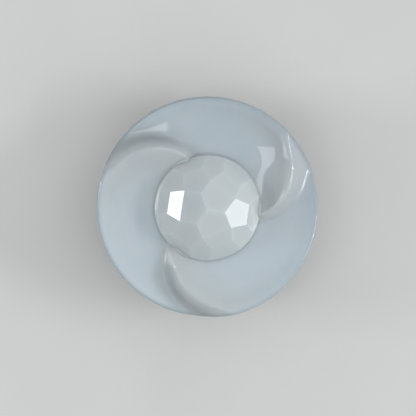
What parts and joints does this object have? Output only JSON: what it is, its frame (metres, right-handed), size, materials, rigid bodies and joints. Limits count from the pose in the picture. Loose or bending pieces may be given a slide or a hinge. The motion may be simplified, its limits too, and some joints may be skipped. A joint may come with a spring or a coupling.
{
  "type": "sew-on button",
  "caption": "Round glass shank button with a swirled three-petal face, a faceted dome set in its middle and a wire eye on the back for thread.",
  "frame": {"origin": "centre of the thread eye, on the button's axis", "axes": "+Z along the button's axis, out of the face; +X along the thread through the eye"},
  "size_m": [0.0229, 0.0228, 0.0114],
  "materials": {
    "opal_glass": "glossy pressed opal glass, slightly translucent, bluish in the thin blades and warm grey in the folds",
    "dome_glass": "polished facets on slightly translucent pale grey opal glass",
    "cement": "hardened clear cement, a little cloudy",
    "plate_brass": "turned brass with a light tarnish",
    "loop_brass": "drawn brass wire, polished by the thread on its inside"
  },
  "bodies": {
    "button": {"swirl_dish": "opal_glass", "faceted_dome": "dome_glass", "dome_cement": "cement", "shank_plate": "plate_brass", "plate_cement": "cement"},
    "loop": {"shank_loop": "loop_brass"}
  },
  "joints": [
    {"name": "loop_swivel", "type": "hinge", "parent": "button", "child": "loop", "pos_m": [0, 0, 0], "axis": [0, 0, 1], "continuous": true}
  ]
}
